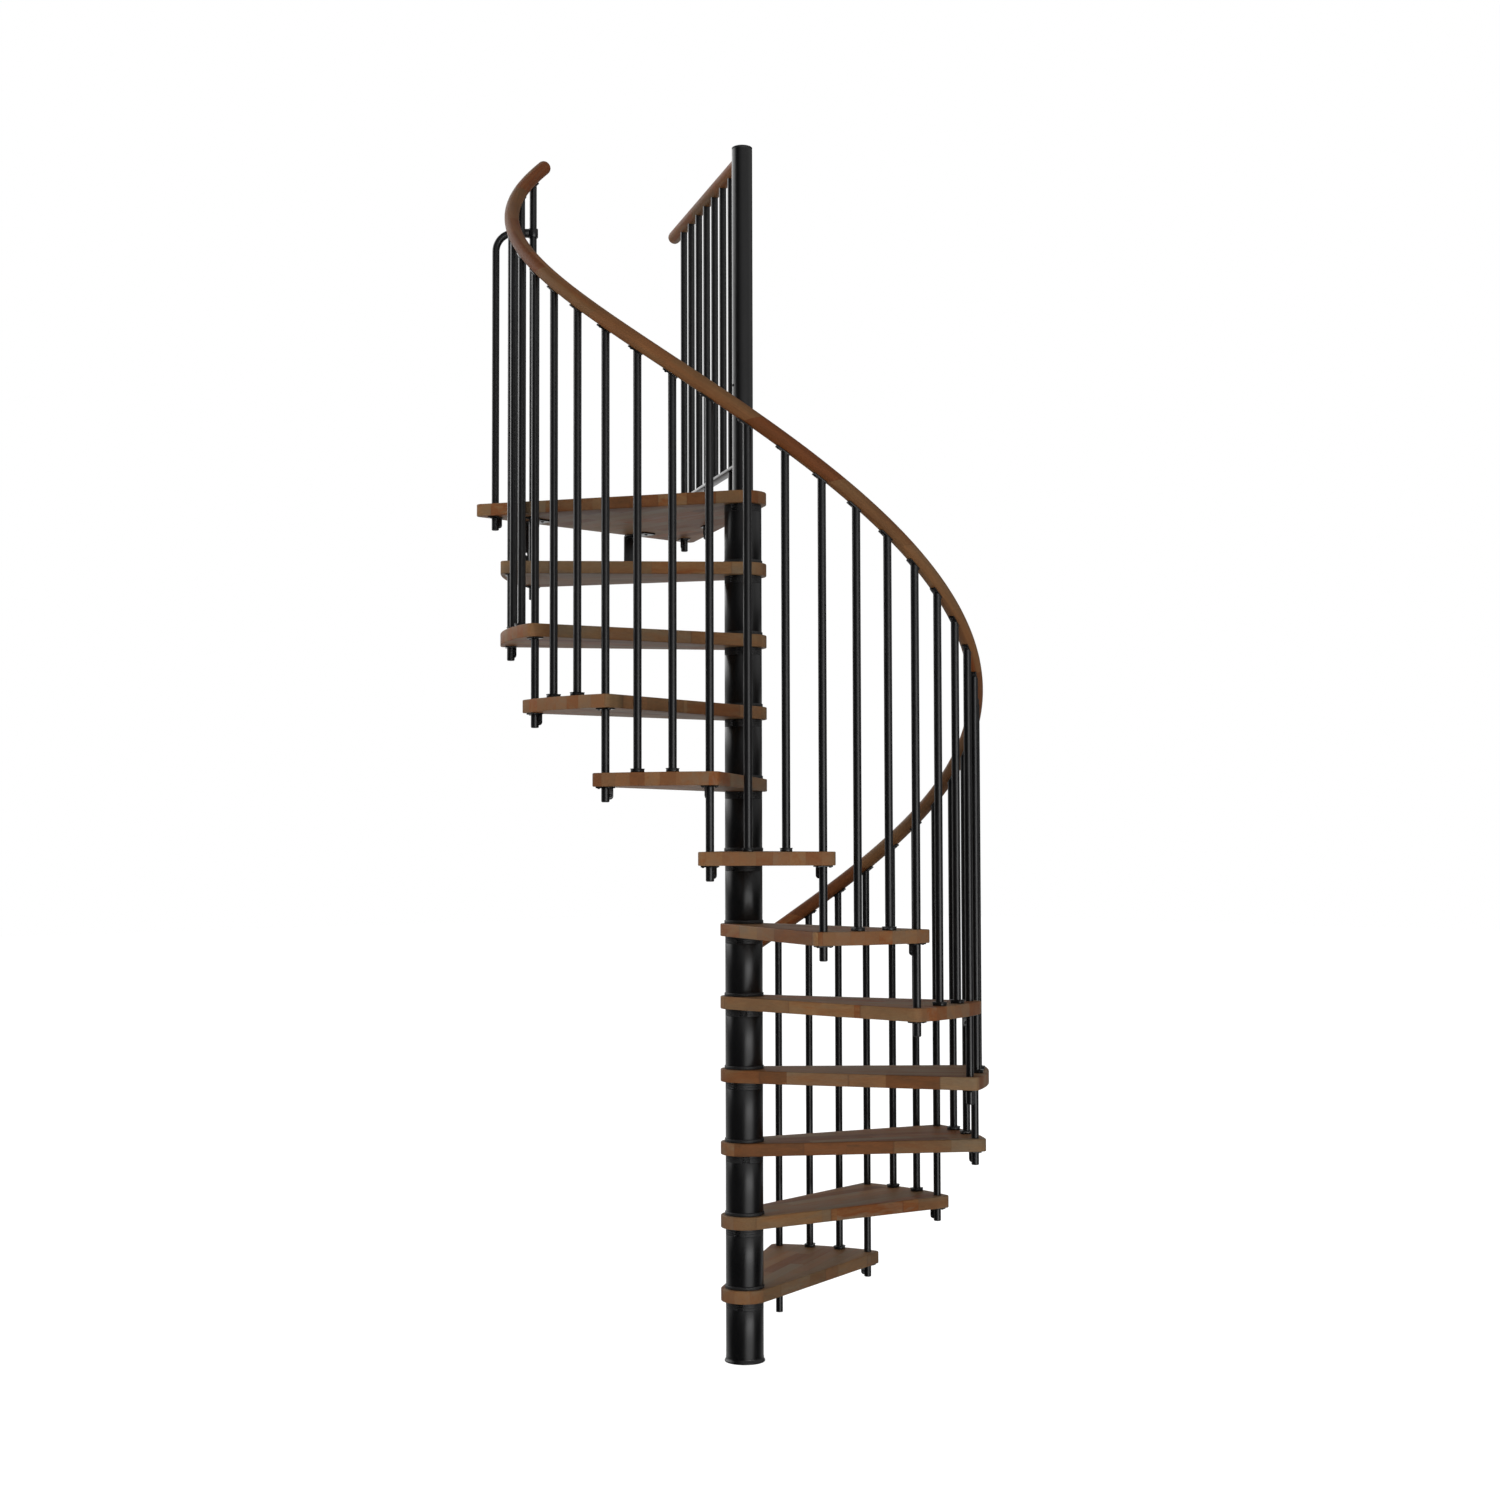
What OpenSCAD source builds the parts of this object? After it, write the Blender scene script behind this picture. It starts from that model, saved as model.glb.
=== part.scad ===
// Spiral staircase: a steel column carries eleven wooden treads and a corner
// landing, with a tube railing and a round wooden handrail.
// The origin is the centre of the base plate's underside, with +Z up. The stair
// climbs clockwise seen from above, and the landing's open edge faces +Y.

/* [Stair] */
// Radius of the circle on which the railing tubes stand
rail_r = 670; // [600:5:760]
// Height from one tread to the next
rise = 208; // [180:1:225]
// Number of treads below the landing
tread_count = 11; // [11]
// Turn from one tread to the next, in degrees
turn = 25.44; // [24:0.01:27]

/* [Treads] */
// Thickness of the wood
wood_t = 36; // [30:1:45]
// Wood beyond the railing tubes
wood_overhang = 30; // [24:1:40]
// Radius of the round wood hub about the column
hub_r = 68; // [62:1:75]
// Radius of the treads' outer corners
corner_r = 18; // [8:1:22]

/* [Column] */
// Diameter of the centre post
post_d = 60; // [48:1:70]
// Wall of the centre post
post_wall = 3; // [2:0.5:6]
// Height of the post above the landing
post_above = 1020; // [900:5:1100]
// Diameter of the column tubes
column_d = 108; // [100:1:114]
// Wall of the column tubes
column_wall = 3; // [2:0.5:6]
// Height of one spacer disc under a tread
spacer_h = 7; // [5:0.5:10]
// Spacer discs in each stack
spacer_count = 3; // [2:1:4]
// Diameter of the base plate
base_d = 116; // [114:1:130]

/* [Railing] */
// Diameter of the railing tubes
tube_d = 22; // [18:1:26]
// Diameter of the handrails
handrail_d = 42; // [36:1:50]
// Height of the handrail's centre above the nosing
handrail_h = 1000; // [900:5:1100]
// Tube ends below the underside of a tread
tube_below = 41; // [38:1:60]

/* [Landing] */
// Distance from the axis to the landing's open edge
landing_reach = 697; // [660:1:740]
// Angle between the last step's railing tube and the middle of the open edge
landing_turn = 27.75; // [26:0.05:29]
// Length of the open edge on the side of the steps
landing_front = 464; // [430:1:480]
// Length of the open edge on the side of the guard
landing_back = 422; // [400:1:450]
// Height of the landing guard's rail centre above the landing
guard_h = 982; // [900:1:1050]
// Spacing of the landing guard's tubes
guard_pitch = 99; // [85:1:100]

/* [Hidden] */
$fn = 96;
two_digits = function (i) str(i < 10 ? "0" : "", i);

wood = [0.42, 0.29, 0.2];
steel = [0.13, 0.13, 0.14];

// Places that follow from the sizes above
tread_r = rail_r + wood_overhang;
landing_z = (tread_count + 1) * rise;
plate_t = 6;
column_r = column_d / 2;
stack_h = spacer_h * spacer_count;
collar_h = 10;
collar_r = column_r + 2.5;
cap_h = 8;
clamp_t = 4;
foot_h = 10;
foot_d = 38;
foot_w = 27;
bolt_pcd = 82;
bolt_d = 9;
saddle_t = 4;

// Angle of a place along the stair, counted in treads from the first tube.
// Place tread_count is the last tube, at the landing's front corner.
open_dir = 90;
function along(t) = open_dir + landing_turn + (tread_count - t) * turn;
function dir(a) = [cos(a), sin(a)];
function on_rail(t) = rail_r * dir(along(t));

// The handrail climbs one rise for each turn of a tread
function handrail_z(t) = (t + 1) * rise + handrail_h;
slope = atan(rise / (rail_r * turn * PI / 180));
under_rail = handrail_d / 2 / cos(slope);

// Angle by which a tread's edge leans in from the radial line of its tube
edge_lean = asin(hub_r / norm([rail_r, wood_overhang])) - atan(wood_overhang / rail_r);

// A place on the landing, measured out to the open edge and sideways along it
function landing_point(reach, side) = reach * dir(open_dir) + side * dir(open_dir + 90);
guard_dir = open_dir - landing_turn;
guard_count = 7;
guard_first = 718;
guard_end = 868;
guard_rail_z = landing_z + guard_h;
bottom_rail_z = landing_z + 92;
bottom_rail_t = 10;
function guard_r(k) = guard_first - k * guard_pitch;
through_tubes = [0, 3, 6];

// Hoop between the landing's front corner and the last railing tube
hoop_leg = landing_point(landing_reach - 38, landing_front - 62);
hoop_z = landing_z + 828;
hoop_bend = 58;

module at(p, z = 0) { translate([p[0], p[1], z]) children(); }

// ---- Flat outlines -------------------------------------------------------

// Points along an arc from one direction to another, counter-clockwise
function arc(c, r, from, to, steps) = [for (k = [0:steps]) c + r * dir(from + (to - from) * k / steps)];

// The hub's round from the front edge about the column to the back edge
function hub_arc(front, back) = arc([0, 0], hub_r, front + 90, back + 270, 44);

// Outline of a tread between two edge directions, with round corners
module tread_outline(front, back) {
    run = sqrt(pow(tread_r - corner_r, 2) - pow(hub_r - corner_r, 2));
    side = atan2(hub_r - corner_r, run);
    far = norm([run, hub_r - corner_r]);
    polygon(concat(
        arc(far * dir(back - side), corner_r, back - 90, back - side, 8),
        arc([0, 0], tread_r, back - side, front + side, 30),
        arc(far * dir(front + side), corner_r, front + side, front + 90, 8),
        hub_arc(front, back)
    ));
}

// Centre of the round in a corner between two edges with outward normals n and m
function round_centre(corner, n, m) = corner - (n + m) * corner_r / (1 + n * m);

// Outline of the landing between its two corners, with round corners
module landing_outline() {
    front_corner = landing_point(landing_reach, landing_front);
    back_corner = landing_point(landing_reach, -landing_back);
    front = atan2(front_corner[1], front_corner[0]) - asin(hub_r / norm(front_corner));
    back = atan2(back_corner[1], back_corner[0]) + asin(hub_r / norm(back_corner));
    polygon(concat(
        arc(round_centre(back_corner, dir(back - 90), dir(open_dir)), corner_r, back - 90, open_dir, 10),
        arc(round_centre(front_corner, dir(front + 90), dir(open_dir)), corner_r, open_dir, front + 90, 6),
        hub_arc(front, back)
    ));
}

// ---- Column --------------------------------------------------------------

module ring(outer, inner, h) {
    difference() {
        cylinder(r = outer, h = h);
        translate([0, 0, -1]) cylinder(r = inner, h = h + 2);
    }
}

// Plate bolted to the floor, with a flared lip about the lowest tube
module base_plate() {
    lip_h = 15;
    color(steel) difference() {
        rotate_extrude()
            polygon([[0, 0], [base_d / 2, 0], [base_d / 2, 3], [column_r + 1.2, lip_h],
                     [column_r, lip_h], [column_r, plate_t], [0, plate_t]]);
        for (a = [45:90:315])
            rotate(a) translate([bolt_pcd / 2, 0, -1]) cylinder(d = bolt_d, h = plate_t + 2);
    }
}

// Post through the whole stair, welded to the base plate
module centre_post() {
    color(steel) translate([0, 0, plate_t])
        ring(post_d / 2, post_d / 2 - post_wall, landing_z + post_above - cap_h - plate_t);
}

module post_cap() {
    r = post_d / 2;
    edge = 5;
    color(steel) translate([0, 0, landing_z + post_above - cap_h]) {
        cylinder(r = r, h = cap_h - edge);
        translate([0, 0, cap_h - edge]) {
            cylinder(r = r - edge, h = edge);
            rotate_extrude() translate([r - edge, 0]) intersection() {
                circle(r = edge);
                square(edge);
            }
        }
    }
}

// Tubes from the top of one tread to the spacers under the next
module column_tubes() {
    color(steel) for (i = [0:tread_count]) {
        bottom = i == 0 ? plate_t : i * rise;
        top = (i + 1) * rise - wood_t - stack_h;
        translate([0, 0, bottom]) ring(column_r, column_r - column_wall, top - bottom);
    }
}

// Thin discs that set the height of each tread, with a groove between discs
module spacer_stacks() {
    groove = 0.8;
    color(steel) for (i = [0:tread_count])
        translate([0, 0, (i + 1) * rise - wood_t - stack_h]) difference() {
            cylinder(r = column_r, h = stack_h);
            translate([0, 0, -1]) cylinder(d = post_d, h = stack_h + 2);
            for (k = [1:spacer_count - 1])
                translate([0, 0, k * spacer_h - groove / 2])
                    ring(column_r + 1, column_r - 1, groove);
        }
}

// Collars about the foot of each tube, on the treads
module tube_collars() {
    color(steel) for (i = [1:tread_count])
        translate([0, 0, i * rise]) ring(collar_r, column_r, collar_h);
}

// ---- Treads and landing ----------------------------------------------------

module tread(i) {
    color(wood) translate([0, 0, i * rise - wood_t]) difference() {
        linear_extrude(wood_t)
            tread_outline(along(i - 1) - edge_lean, along(i) + edge_lean);
        translate([0, 0, -1]) cylinder(d = post_d, h = wood_t + 2);
        for (t = [i - 1, i]) at(on_rail(t), -1) cylinder(d = tube_d, h = wood_t + 2);
    }
}

module landing() {
    color(wood) translate([0, 0, landing_z - wood_t]) difference() {
        linear_extrude(wood_t) landing_outline();
        translate([0, 0, -1]) cylinder(d = post_d, h = wood_t + 2);
        at(on_rail(tread_count), -1) cylinder(d = tube_d, h = wood_t + 2);
        at(hoop_leg, -1) cylinder(d = tube_d, h = wood_t + 2);
        for (k = through_tubes)
            at(guard_r(k) * dir(guard_dir), -1) cylinder(d = tube_d, h = wood_t + 2);
    }
}

// ---- Railing -------------------------------------------------------------

// One upright tube, cut on the slope of the handrail
module railing_tube(t, bottom) {
    top = handrail_z(t) - under_rail - saddle_t / cos(slope);
    at(on_rail(t)) rotate(along(t)) difference() {
        translate([0, 0, bottom]) cylinder(d = tube_d, h = top + tube_d - bottom);
        translate([0, 0, top]) rotate([-slope, 0, 0])
            translate([-tube_d, -2 * tube_d, 0]) cube([2 * tube_d, 4 * tube_d, 3 * tube_d]);
    }
}

// The tubes of one tread: two on the tread and one through its back corner
module railing_tubes(i) {
    color(steel) {
        railing_tube(i, i == 0 ? 0 : i * rise - wood_t - tube_below);
        if (i > 0) for (third = [1, 2]) railing_tube(i - 1 + third / 3, i * rise);
    }
}

// Screwed feet of the tubes that stand on the treads
module tube_feet() {
    color(steel) for (i = [1:tread_count], third = [1, 2])
        at(on_rail(i - 1 + third / 3), i * rise) rotate(along(i - 1 + third / 3))
            difference() {
                intersection() {
                    cylinder(d = foot_d, h = foot_h);
                    translate([-foot_d, -foot_w / 2, 0]) cube([2 * foot_d, foot_w, foot_h]);
                }
                translate([0, 0, -1]) cylinder(d = tube_d, h = foot_h + 2);
            }
}

// Plate under the wood about a tube, with a tab down the tube's inner side.
// The tab stands halfway between inward and sideways; side is +1 or -1.
module clamp(side) {
    plate_l = 46;
    plate_w = 32;
    tab_reach = 21;
    tab_h = 34;
    tab_round = 9;
    difference() {
        union() {
            translate([-plate_w / 2, -plate_l / 2, -clamp_t]) cube([plate_w, plate_l, clamp_t]);
            rotate(side > 0 ? 45 : 135) translate([-clamp_t / 2, 0, -tab_h])
                rotate([90, 0, 90]) linear_extrude(clamp_t) union() {
                    translate([0, tab_round]) square([tab_reach, tab_h - tab_round]);
                    square([tab_reach - tab_round, tab_h]);
                    translate([tab_reach - tab_round, tab_round]) circle(r = tab_round);
                }
        }
        translate([0, 0, -tab_h - 1]) cylinder(d = tube_d, h = tab_h + 2);
    }
}

// Clamps under both corners of each tread and under the landing
module tube_clamps() {
    color(steel) {
        for (i = [1:tread_count], t = [i - 1, i])
            at(on_rail(t), i * rise - wood_t) rotate(along(t)) clamp(t == i ? 1 : -1);
        translate([0, 0, landing_z - wood_t]) {
            at(on_rail(tread_count)) rotate(along(tread_count)) clamp(-1);
            at(hoop_leg) rotate(along(tread_count)) clamp(-1);
            for (k = through_tubes) at(guard_r(k) * dir(guard_dir)) rotate(guard_dir - 90) clamp(-1);
        }
    }
}

// ---- Handrail --------------------------------------------------------------

rail_start = -0.30;
rail_stop = 11.28;
rail_rings = 94;
rail_sides = 18;
end_rings = 4;

// Rings of the handrail: each entry is a place along the stair and a radius.
// Its two ends close in quarter-round rings.
end_round = handrail_d / 4;
step_of = function (mm) mm / (rail_r * turn * PI / 180 / cos(slope));
rail_profile = concat(
    [for (k = [0:end_rings]) let (a = 90 * k / (end_rings + 1))
        [rail_start + step_of(end_round * (1 - sin(a + 9))), handrail_d / 2 - end_round * (1 - sin(a + 9))]],
    [for (k = [0:rail_rings]) [rail_start + step_of(end_round)
        + (rail_stop - rail_start - 2 * step_of(end_round)) * k / rail_rings, handrail_d / 2]],
    [for (k = [end_rings:-1:0]) let (a = 90 * k / (end_rings + 1))
        [rail_stop - step_of(end_round * (1 - sin(a + 9))), handrail_d / 2 - end_round * (1 - sin(a + 9))]]
);

// A point on the handrail's skin, in the plane square to its slope
function skin(t, r, a) =
    let (c = along(t), out = r * cos(a), up = r * sin(a))
    [(rail_r + out) * cos(c) - up * sin(slope) * sin(c),
     (rail_r + out) * sin(c) + up * sin(slope) * cos(c),
     handrail_z(t) + up * cos(slope)];

module handrail() {
    n = rail_sides;
    rings = len(rail_profile);
    points = [for (p = rail_profile, s = [0:n - 1]) skin(p[0], p[1], 360 * (s + 0.5) / n)];
    walls = [for (j = [0:rings - 2], s = [0:n - 1]) let (q = (s + 1) % n)
        each [[j * n + s, (j + 1) * n + s, (j + 1) * n + q], [j * n + s, (j + 1) * n + q, j * n + q]]];
    first = [for (s = [0:n - 1]) s];
    last = [for (s = [n - 1:-1:0]) (rings - 1) * n + s];
    color(wood) polyhedron(points = points, faces = concat([first], walls, [last]));
}

// Plates between the tubes and the handrail
module handrail_plates() {
    plate_w = 18;
    plate_l = 44;
    color(steel) for (i = [0:tread_count], third = [-2, -1, 0]) if (i > 0 || third == 0)
        let (t = i + third / 3)
        at(on_rail(t), handrail_z(t) - under_rail) rotate(along(t)) rotate([-slope, 0, 0])
            translate([-plate_w / 2, -plate_l + 16, -saddle_t]) cube([plate_w, plate_l, saddle_t]);
}

// ---- Landing guard -----------------------------------------------------------

module guard_handrail() {
    r = handrail_d / 2;
    color(wood) rotate(guard_dir) difference() {
        translate([0, 0, guard_rail_z]) {
            rotate([0, 90, 0]) cylinder(r = r, h = guard_end - r);
            translate([guard_end - r, 0, 0]) sphere(r = r);
        }
        translate([0, 0, guard_rail_z - 2 * r]) cylinder(d = post_d, h = 4 * r);
    }
}

module guard_tubes() {
    r = handrail_d / 2;
    color(steel) rotate(guard_dir) for (k = [0:guard_count - 1]) {
        through = len([for (j = through_tubes) if (j == k) j]) > 0;
        bottom = through ? landing_z - wood_t - tube_below : bottom_rail_z;
        translate([guard_r(k), 0, bottom]) difference() {
            cylinder(d = tube_d, h = guard_rail_z - bottom);
            translate([-tube_d, 0, guard_rail_z - bottom]) rotate([0, 90, 0])
                cylinder(r = r, h = 2 * tube_d);
        }
    }
}

// Flat bar that carries the guard's short tubes
module guard_bottom_rail() {
    width = 30;
    length = guard_first + tube_d / 2 + 4;
    color(steel) rotate(guard_dir) difference() {
        translate([0, -width / 2, bottom_rail_z - bottom_rail_t])
            cube([length, width, bottom_rail_t]);
        for (k = through_tubes)
            translate([guard_r(k), 0, bottom_rail_z - bottom_rail_t - 1])
                cylinder(d = tube_d, h = bottom_rail_t + 2);
        translate([0, 0, bottom_rail_z - bottom_rail_t - 1]) cylinder(d = post_d, h = bottom_rail_t + 2);
    }
}

// ---- Hoop --------------------------------------------------------------------

hoop_reach = norm(on_rail(tread_count) - hoop_leg);
hoop_dir = atan2(on_rail(tread_count)[1] - hoop_leg[1], on_rail(tread_count)[0] - hoop_leg[0]);
clamp_wall = 4;
clamp_h = 26;
lug_l = 20;

module hoop_tube() {
    r = tube_d / 2;
    bottom = landing_z - wood_t - tube_below;
    color(steel) at(hoop_leg) rotate(hoop_dir) {
        translate([0, 0, bottom]) cylinder(r = r, h = hoop_z - hoop_bend - bottom);
        translate([hoop_bend, 0, hoop_z - hoop_bend]) rotate([90, 0, 0])
            rotate([0, 0, 90]) rotate_extrude(angle = 90) translate([hoop_bend, 0]) circle(r = r);
        translate([hoop_bend, 0, hoop_z]) rotate([0, 90, 0])
            cylinder(r = r, h = hoop_reach - hoop_bend - r - clamp_wall);
    }
}

// Ring about the last railing tube, with a socket for the hoop's end
module hoop_clamp() {
    r = tube_d / 2;
    color(steel) at(on_rail(tread_count), hoop_z) rotate(hoop_dir + 180) difference() {
        union() {
            translate([0, 0, -clamp_h / 2]) cylinder(r = r + clamp_wall, h = clamp_h);
            rotate([0, 90, 0]) cylinder(r = r + 2.5, h = r + clamp_wall + lug_l);
        }
        translate([0, 0, -clamp_h]) cylinder(r = r, h = 2 * clamp_h);
        translate([r + clamp_wall, 0, 0]) rotate([0, 90, 0]) cylinder(r = r, h = lug_l + 2);
    }
}

// ---- Brackets to the upper floor ---------------------------------------------

bracket_places = [258, -155];
bracket_w = 46;
bracket_t = 5;
bracket_drop = 140;
bracket_run = 100;
bracket_hole = 9;
hole_spacing = 30;
hole_top = 96;

// Angle brackets under the landing; the upright leg bolts to the floor's edge
module floor_brackets() {
    color(steel) rotate(open_dir) for (side = bracket_places)
        translate([landing_reach, side, landing_z - wood_t]) difference() {
            translate([0, -bracket_w / 2, 0]) {
                translate([-bracket_run, 0, -bracket_t]) cube([bracket_run, bracket_w, bracket_t]);
                translate([-bracket_t, 0, -bracket_drop]) cube([bracket_t, bracket_w, bracket_drop]);
            }
            for (z = [-hole_top, -hole_top - hole_spacing])
                translate([-bracket_t - 1, 0, z]) rotate([0, 90, 0])
                    cylinder(d = bracket_hole, h = bracket_t + 2);
        }
}

// ---- Nodes -------------------------------------------------------------------

base_plate();
centre_post();
post_cap();
column_tubes();
spacer_stacks();
tube_collars();
for (i = [1:tread_count])
    tread(i);
landing();
for (i = [0:tread_count])
    railing_tubes(i);
tube_feet();
tube_clamps();
handrail();
handrail_plates();
guard_handrail();
guard_tubes();
guard_bottom_rail();
hoop_tube();
hoop_clamp();
floor_brackets();
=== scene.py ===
"""Looks of the spiral staircase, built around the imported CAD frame.

Every size and place is read from the frame's own nodes. Lengths are in metres.
"""
import math
import random

import bmesh
import bpy
from mathutils import Matrix, Vector


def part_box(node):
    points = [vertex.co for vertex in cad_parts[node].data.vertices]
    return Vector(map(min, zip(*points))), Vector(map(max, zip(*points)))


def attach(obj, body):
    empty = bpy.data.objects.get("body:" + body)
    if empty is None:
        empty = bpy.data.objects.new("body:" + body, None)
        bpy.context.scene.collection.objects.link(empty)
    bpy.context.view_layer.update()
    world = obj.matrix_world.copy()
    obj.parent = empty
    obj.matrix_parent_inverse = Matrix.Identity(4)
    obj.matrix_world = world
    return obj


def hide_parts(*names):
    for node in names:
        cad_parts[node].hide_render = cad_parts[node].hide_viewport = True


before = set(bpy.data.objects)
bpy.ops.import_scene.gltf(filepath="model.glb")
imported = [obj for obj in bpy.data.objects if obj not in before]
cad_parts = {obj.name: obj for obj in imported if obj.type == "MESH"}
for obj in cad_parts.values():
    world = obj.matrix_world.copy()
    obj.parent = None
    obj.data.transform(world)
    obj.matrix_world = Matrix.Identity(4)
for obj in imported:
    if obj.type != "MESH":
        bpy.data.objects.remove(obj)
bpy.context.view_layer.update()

BODY = "root"
MM = 0.001
UP = Vector((0, 0, 1))

# The camera, as a photographer would note it: metres and degrees
CAMERA_BEARING = 43.17     # clockwise from +Y to the way the camera looks
CAMERA_BACK = 6.359        # from the column's axis
CAMERA_SIDE = 0.019        # to the right of the column's axis
CAMERA_HEIGHT = 1.472
CAMERA_TILT = 2.49         # upwards
CAMERA_ROLL = 0.151        # clockwise
CAMERA_LENS = 52.76        # on a sensor 36 mm wide

# Small radii and details that the CAD leaves out
WOOD_EDGE = 2.6 * MM
HOLE_EASE = 0.15           # share of an edge's rounding that a hole gets
RAIL_END = 17 * MM
COLUMN_WALL = 3 * MM
PLUG_DROP = 2.2 * MM       # how far a plug hangs out of its tube
SCREW_R = 3.6 * MM
SLOT_BEARING = -138        # degrees: where the spacers' slots face, give or take the spread
SLOT_SPREAD = 30

# How finely round things are cut
SCREW_SIDES = 18
TUBE_SIDES = 32
RAIL_SIDES = 36
JOINT_SIDES = 40
POST_SIDES = 80
COLUMN_SIDES = 96

# Numbers that choose the staves of the two rails; the boards count from 1
STAIR_RAIL_STAVES = 21
GUARD_RAIL_STAVES = 24


# ---- Reading the frame -----------------------------------------------------

def welded(node):
    """A CAD node's mesh with its split vertices joined again."""
    mesh = bmesh.new()
    mesh.from_mesh(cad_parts[node].data)
    bmesh.ops.remove_doubles(mesh, verts=mesh.verts, dist=0.01 * MM)
    return mesh


def solids(node):
    """The separate solids of a CAD node, lowest first, each as (low corner, high corner)."""
    mesh = welded(node)
    unseen = set(mesh.verts)
    boxes = []
    while unseen:
        queue = [unseen.pop()]
        found = []
        while queue:
            vert = queue.pop()
            found.append(vert.co.copy())
            for edge in vert.link_edges:
                other = edge.other_vert(vert)
                if other in unseen:
                    unseen.remove(other)
                    queue.append(other)
        low = Vector([min(co[axis] for co in found) for axis in range(3)])
        high = Vector([max(co[axis] for co in found) for axis in range(3)])
        boxes.append((low, high))
    mesh.free()
    return sorted(boxes, key=lambda box: (round(box[0].z, 4), box[0].x))


def top_loops(node):
    """The outline and the holes of a flat node's top face, wood on the left of each loop."""
    mesh = welded(node)
    top = max(vert.co.z for vert in mesh.verts)
    rim = {}
    for edge in mesh.edges:
        if all(abs(vert.co.z - top) < 0.01 * MM for vert in edge.verts):
            flat = [face for face in edge.link_faces if face.normal.z > 0.99]
            if len(flat) == 1:
                loop = next(lp for lp in edge.link_loops if lp.face == flat[0])
                rim[loop.vert] = loop.link_loop_next.vert
    loops = []
    while rim:
        start = next(iter(rim))
        points = []
        vert = start
        while vert in rim:
            points.append(vert.co.to_2d())
            vert = rim.pop(vert)
        loops.append(points)
    mesh.free()
    return sorted(loops, key=len, reverse=True)


def centre(box):
    return (box[0] + box[1]) / 2


def node_names(stem):
    return sorted(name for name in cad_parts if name.startswith(stem))


TREADS = node_names("tread_")
TUBE_NODES = node_names("railing_tubes_")
landing_low, landing_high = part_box("landing")
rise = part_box("tread_02")[1].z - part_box("tread_01")[1].z
tread_count = len(TREADS)

first_tube = solids("railing_tubes_00")[0]
tube_r = (first_tube[1].x - first_tube[0].x) / 2
rail_r = centre(first_tube).to_2d().length
first_angle = math.atan2(centre(first_tube).y, centre(first_tube).x)
second_tube = solids("railing_tubes_01")[0]
turn = first_angle - math.atan2(centre(second_tube).y, centre(second_tube).x)

column_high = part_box("column_tubes")[1]
column_r = max(column_high.x, column_high.y)
post_low, post_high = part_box("centre_post")
post_r = max(post_high.x, post_high.y)
handrail_r = (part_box("guard_handrail")[1].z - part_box("guard_handrail")[0].z) / 2

slope = math.atan(rise / (rail_r * turn))
rail_step = math.hypot(rail_r * turn, rise)
plate_t = 4 * MM
rail_rise_at_0 = (first_tube[1].z - tube_r * math.tan(slope)
                  + (plate_t + handrail_r) / math.cos(slope))

guard_solids = solids("guard_tubes")
guard_far = max((centre(box) for box in guard_solids), key=lambda at: at.to_2d().length)
guard_angle = math.atan2(guard_far.y, guard_far.x)
hoop_bottom = [vert.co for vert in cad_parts["hoop_tube"].data.vertices
               if vert.co.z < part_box("hoop_tube")[0].z + 1 * MM]
hoop_leg = Vector([(min(co[axis] for co in hoop_bottom) + max(co[axis] for co in hoop_bottom)) / 2
                   for axis in range(3)])


def angle_at(place):
    """Direction of a place along the stair, counted in treads from the first tube."""
    return first_angle - place * turn


def rail_point(place):
    """The handrail's centre at a place along the stair."""
    angle = angle_at(place)
    return Vector((rail_r * math.cos(angle), rail_r * math.sin(angle), rail_rise_at_0 + place * rise))


def handrail_ends():
    """The places along the stair of the handrail's two ends, measured along its slope."""
    full = math.tau / turn
    level_run = rail_r * turn * math.cos(slope)
    places = []
    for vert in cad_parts["handrail"].data.vertices:
        by_height = (vert.co.z - rail_rise_at_0) / rise
        by_angle = (first_angle - math.atan2(vert.co.y, vert.co.x)) / turn
        by_angle += full * round((by_height - by_angle) / full)
        places.append((by_angle * level_run + by_height * rise * math.sin(slope)) / rail_step)
    return min(places), max(places)


# ---- Materials ---------------------------------------------------------------

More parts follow.
